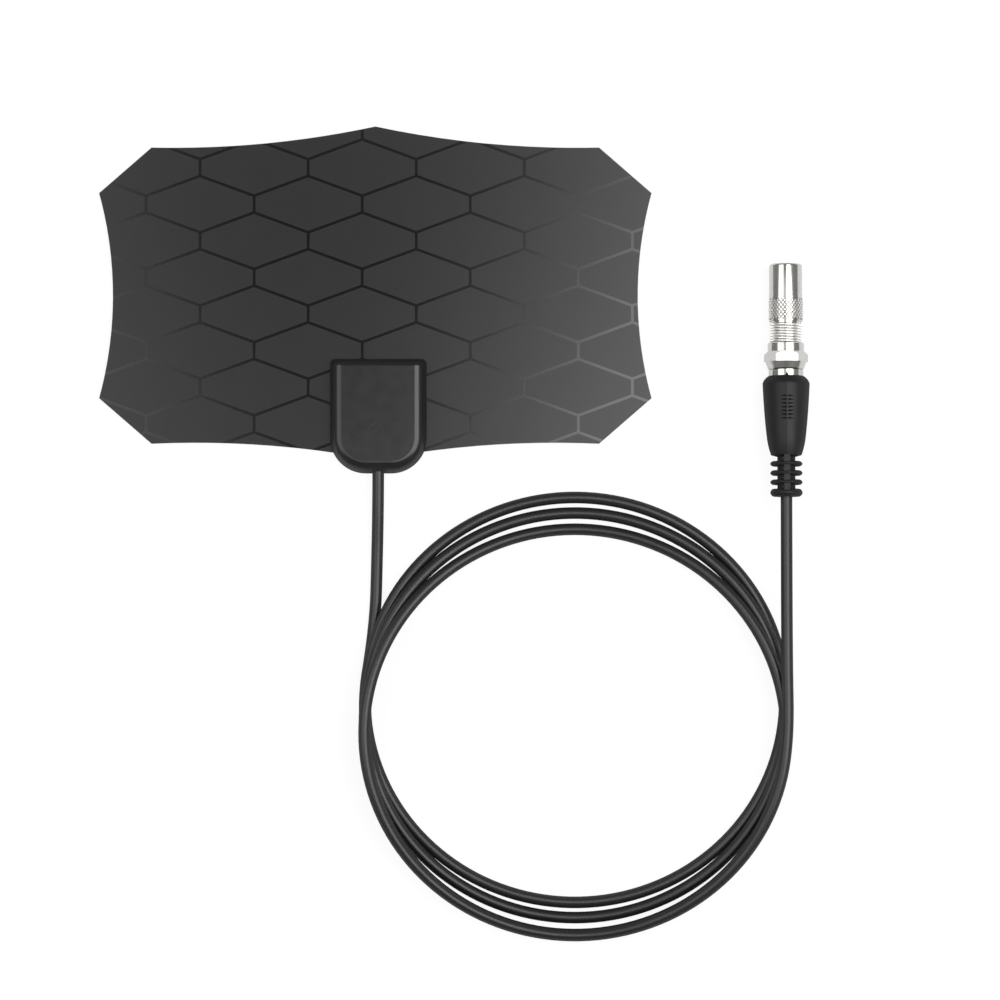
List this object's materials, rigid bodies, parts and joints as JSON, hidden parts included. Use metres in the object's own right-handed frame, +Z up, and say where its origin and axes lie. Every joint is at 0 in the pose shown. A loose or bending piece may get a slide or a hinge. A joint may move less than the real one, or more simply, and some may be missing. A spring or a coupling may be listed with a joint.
{
  "type": "indoor tv antenna",
  "caption": "Flat film indoor television antenna with a faceted honeycomb panel, a clip box and a thin coiled coaxial lead ending in a screw plug with an aerial plug adapter.",
  "frame": {"origin": "on the table under the middle of the panel and its clip box, cord and plug left out", "axes": "+X to the right along the panel, +Y towards the panel's top edge, away from the cable exit, +Z up out of the panel's printed face"},
  "size_m": [0.2055, 0.2359, 0.0138],
  "materials": {
    "film_front": "matte black-grey printed film with glossy honeycomb lines",
    "film_rear": "matte dark film",
    "foil": "plain foil",
    "box": "satin moulded black plastic",
    "board": "bare circuit board",
    "copper_alloy": "plain",
    "ferrite": "matte sintered",
    "braid": "woven",
    "insulation": "smooth white",
    "cable_jacket": "satin extruded black sheath",
    "plug_grip": "satin moulded black plastic",
    "plated_metal": "bright nickel plate"
  },
  "bodies": {
    "antenna": {"front_film": "film_front", "rear_film": "film_rear", "foil_radiator_left": "foil", "foil_radiator_right": "foil", "box_front_cover": "box", "box_rear_cover": "box", "matching_board": "board", "feed_eyelet_left": "copper_alloy", "feed_eyelet_right": "copper_alloy", "transformer_core": "ferrite", "transformer_winding": "copper_alloy", "cable_braid": "braid", "cable_dielectric": "insulation", "cable_wire": "copper_alloy", "cable_stop_ring": "foil", "cable_lead": "cable_jacket", "cable_coil": "cable_jacket", "cable_tail": "cable_jacket", "plug_moulding": "plug_grip", "plug_body": "plated_metal", "plug_insulator": "insulation", "plug_contact": "copper_alloy"},
    "coupling_nut": {"coupling_nut": "plated_metal"},
    "adapter": {"adapter_body": "plated_metal", "adapter_rear_insulator": "insulation", "adapter_front_insulator": "insulation", "adapter_pin": "plated_metal"}
  },
  "joints": [
    {"name": "nut_turn", "type": "hinge", "parent": "antenna", "child": "coupling_nut", "pos_m": [0.1187, -0.01721, 0.00636], "axis": [0, -0.9982, 0.0603], "range_deg": [0, 1800]},
    {"name": "adapter_unscrew", "type": "slide", "parent": "antenna", "child": "adapter", "axis": [0, 0.9982, -0.0603], "range_m": [0, 0.00397]}
  ],
  "couplings": [
    {"joint": "nut_turn", "follows": "adapter_unscrew", "rad_per_m": 7915.8}
  ]
}
